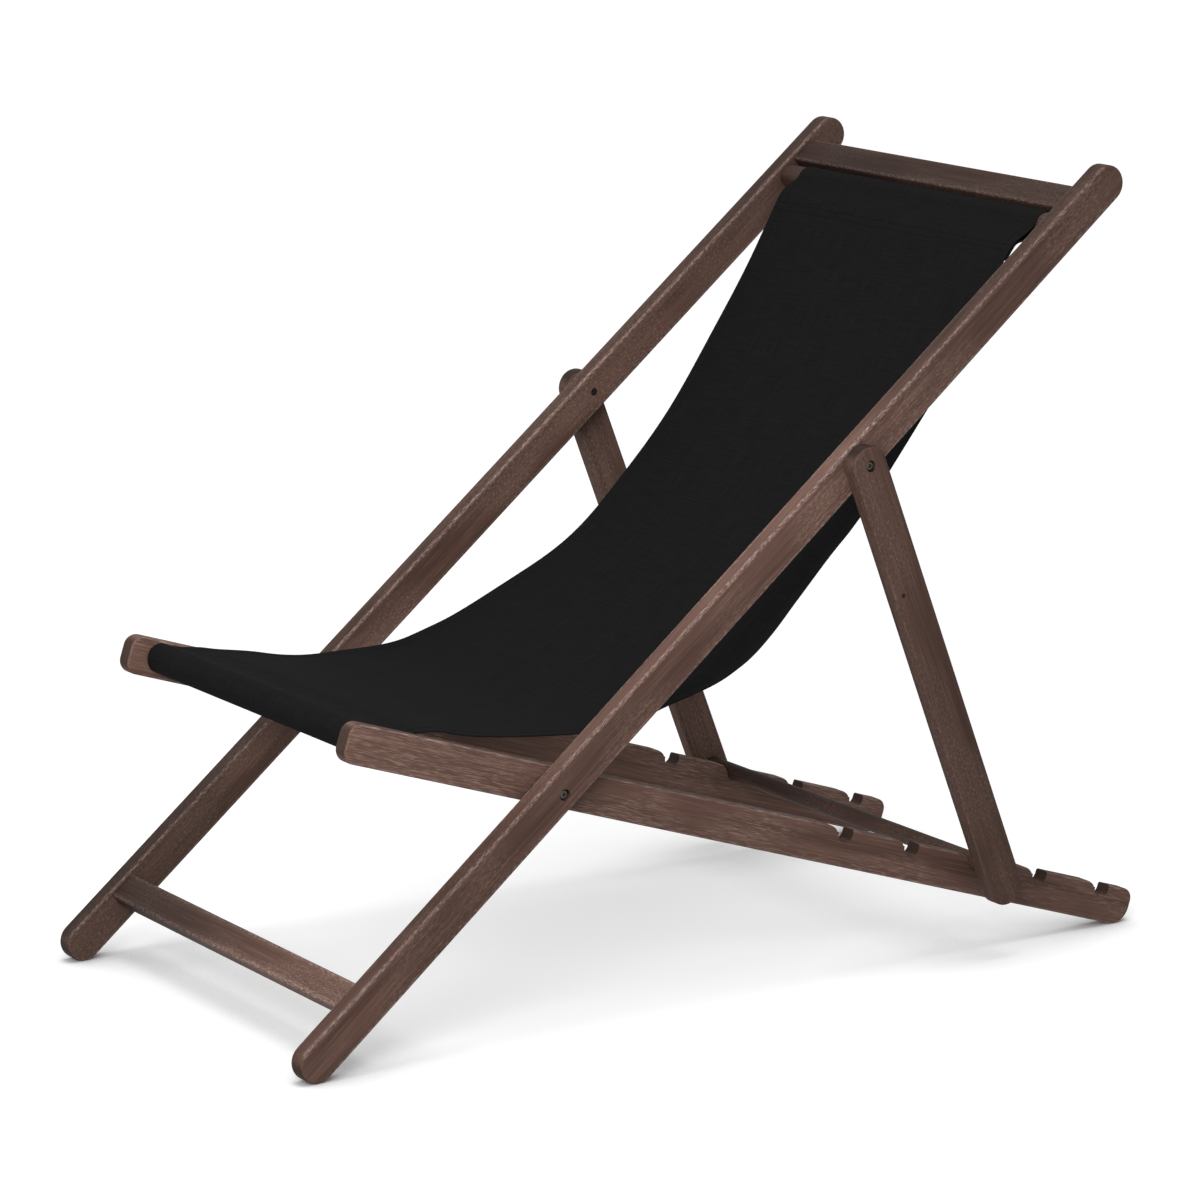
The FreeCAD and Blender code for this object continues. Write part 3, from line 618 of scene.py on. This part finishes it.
# %% Section of the strip
HEM_STEP = 2.0 * MM                         # width of the step from plain cloth to a hem
ROUNDING = np.array([0.6, 0.2, 0.0]) * MM   # in from an edge, and the share of the
THICKNESS_LEFT = (1.0, 0.75, 0.3)           # thickness that is left there
PLAIN_POINTS, HEM_POINTS = 41, 7
hem_at = HALF_WIDTH - HEM
plain = np.linspace(-hem_at + HEM_STEP, hem_at - HEM_STEP, PLAIN_POINTS)
hem = np.linspace(hem_at, HALF_WIDTH - ROUNDING[0], HEM_POINTS)
edge = HALF_WIDTH - ROUNDING[1:]
section_x = np.concatenate([-edge[::-1], -hem[::-1], plain, hem, edge])
hemmed = np.abs(section_x) > hem_at - HEM_STEP / 2
rounded = np.interp(np.abs(section_x), HALF_WIDTH - ROUNDING, THICKNESS_LEFT)
upper = (CLOTH / 2) * rounded
under = -(CLOTH / 2 + LAYER * hemmed) * rounded
ring_x = np.concatenate([section_x, section_x[::-1]])
ring_off = np.concatenate([upper, under[::-1]])

# %% Sling mesh
rows, columns = len(along), len(ring_x)
points = cloth(along[:, None], ring_x[None, :], ring_off[None, :]).reshape(-1, 3)
first = np.arange(rows - 1)[:, None] * columns + np.arange(columns)[None, :]
beyond = np.arange(rows - 1)[:, None] * columns + np.roll(np.arange(columns), -1)[None, :]
quads = np.stack([first, first + columns, beyond + columns, beyond], axis=-1).reshape(-1, 4)
half = np.arange(columns // 2 - 1)
cap = np.stack([half, half + 1, columns - 2 - half, columns - 1 - half], axis=-1)
quads = np.concatenate([quads, cap, cap[:, ::-1] + (rows - 1) * columns])


def new_piece(name, points, faces, finish):
    """Object at the origin, with its place in its mesh and smooth faces."""
    mesh = bpy.data.meshes.new(name)
    mesh.from_pydata(points.tolist(), [], faces.tolist())
    mesh.polygons.foreach_set("use_smooth", np.ones(len(faces), bool))
    mesh.materials.append(finish)
    piece = bpy.data.objects.new(name, mesh)
    bpy.context.scene.collection.objects.link(piece)
    return piece


sling = new_piece("sling_canvas", points, quads, canvas)
flat = np.stack(np.broadcast_arrays(ring_x[None, :], along[:, None]), axis=-1).reshape(-1, 2)
cloth_map = sling.data.uv_layers.new(name="cloth")
cloth_map.data.foreach_set("uv", flat[quads.ravel()].astype(np.float32).ravel())
print("sling: %d faces" % len(quads))

# %% [markdown]
# ## Stitching
# Lockstitch in black thread holds the hems and the casings. A stitch is a short, fat,
# slightly sunken capsule of thread, four millimetres from the next. Nearly two thousand of
# them need few faces each, so one small capsule is worked out and placed a row at a time.

# %% Stitching
STITCH_PITCH, STITCH_LENGTH = 4.2 * MM, 3.2 * MM
THREAD_RADIUS = 0.45 * MM
HEM_ROW = HALF_WIDTH - HEM + 3.0 * MM
SEAM_ROWS = (3.0 * MM, 12.0 * MM)           # beyond a casing
HEM_ENDS, SEAM_ENDS = 4.0 * MM, 5.0 * MM    # from the bars and the edges to the first stitch
STITCH_SIDES, STITCH_RINGS = 6, 5
BLUNT = 0.12                                # radians that a stitch's end stops short of a point
thread, tree = new_finish("black polyester thread")
surface = add(tree, "BsdfPrincipled", {"Base Color": linear("#0f0f10"), "Roughness": 0.8,
                                       "Specular IOR Level": 0.08})
add(tree, "OutputMaterial", {"Surface": surface.outputs["BSDF"]})


def on_face(s, x, side):
    """Points of the cloth's face on the sitter's side (1) or the underside (-1)."""
    off = side * (CLOTH / 2 + (LAYER if side < 0 else 0.0) * (np.abs(x) > hem_at))
    return cloth(s, x, off)


hem_s = np.arange(span_start + HEM_ENDS, span_end - HEM_ENDS, STITCH_PITCH)
seam_x = np.arange(-HALF_WIDTH + SEAM_ENDS, HALF_WIDTH - SEAM_ENDS, STITCH_PITCH)
stitch_rows = []                # places along the strip, places across it, side, run of a stitch
for side in (1, -1):
    for x in (-HEM_ROW, HEM_ROW):
        stitch_rows.append((hem_s, np.full_like(hem_s, x), side, (STITCH_LENGTH, 0.0)))
    for casing_end, inward in ((span_start + CASING, 1), (span_end - CASING, -1)):
        for apart in SEAM_ROWS:
            seam_s = np.full_like(seam_x, casing_end + inward * apart)
            stitch_rows.append((seam_s, seam_x, side, (0.0, STITCH_LENGTH)))

turns = np.linspace(0, 2 * np.pi, STITCH_SIDES, endpoint=False)[None, None, :, None]
bulge = np.sin(np.linspace(BLUNT, np.pi - BLUNT, STITCH_RINGS))[None, :, None, None] ** 0.5
reach = np.linspace(-0.5, 0.5, STITCH_RINGS)[None, :, None, None]
stitch_points = []
for s, x, side, (ds, dx) in stitch_rows:
    centre = on_face(s, x, side)
    run = on_face(s + ds / 2, x + dx / 2, side) - on_face(s - ds / 2, x - dx / 2, side)
    raised = centre - cloth(s, x, 0.0)
    lift = raised / np.linalg.norm(raised, axis=1)[:, None]
    width = np.cross(run / np.linalg.norm(run, axis=1)[:, None], lift)
    centre, run, lift, width = (v[:, None, None, :] for v in (centre, run, lift, width))
    circle = np.cos(turns) * width + np.sin(turns) * lift
    tubes = centre + reach * run + circle * (THREAD_RADIUS * bulge)
    stitch_points.append(tubes.reshape(-1, 3))
stitch_points = np.concatenate(stitch_points)
ring = np.arange(STITCH_SIDES)
ahead = np.roll(ring, -1)
around = np.stack([ring, ahead, ahead + STITCH_SIDES, ring + STITCH_SIDES], axis=-1)
wall = [around + STITCH_SIDES * k for k in range(STITCH_RINGS - 1)]
lid = np.array([[0, 3, 2, 1], [0, 5, 4, 3]])
far_lid = np.array([[0, 1, 2, 3], [0, 3, 4, 5]]) + STITCH_SIDES * (STITCH_RINGS - 1)
one = np.concatenate([*wall, lid, far_lid])
size = STITCH_SIDES * STITCH_RINGS
count = len(stitch_points) // size
stitch_faces = (one[None] + size * np.arange(count)[:, None, None]).reshape(-1, 4)
stitching = new_piece("sling_stitching", stitch_points, stitch_faces, thread)
print("stitches: %d" % count)

# %% [markdown]
# ## The cloth in place of the plain sling
# When the frames close, the front bar swings down in line with the long rails and draws the
# sling nearly flat. Here the sewn cloth and its stitching keep their place in their meshes,
# and the plain sling from the part file is hidden.

# %% Cloth on the frames
for piece in (sling, stitching):
    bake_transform(piece)
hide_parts("sling")
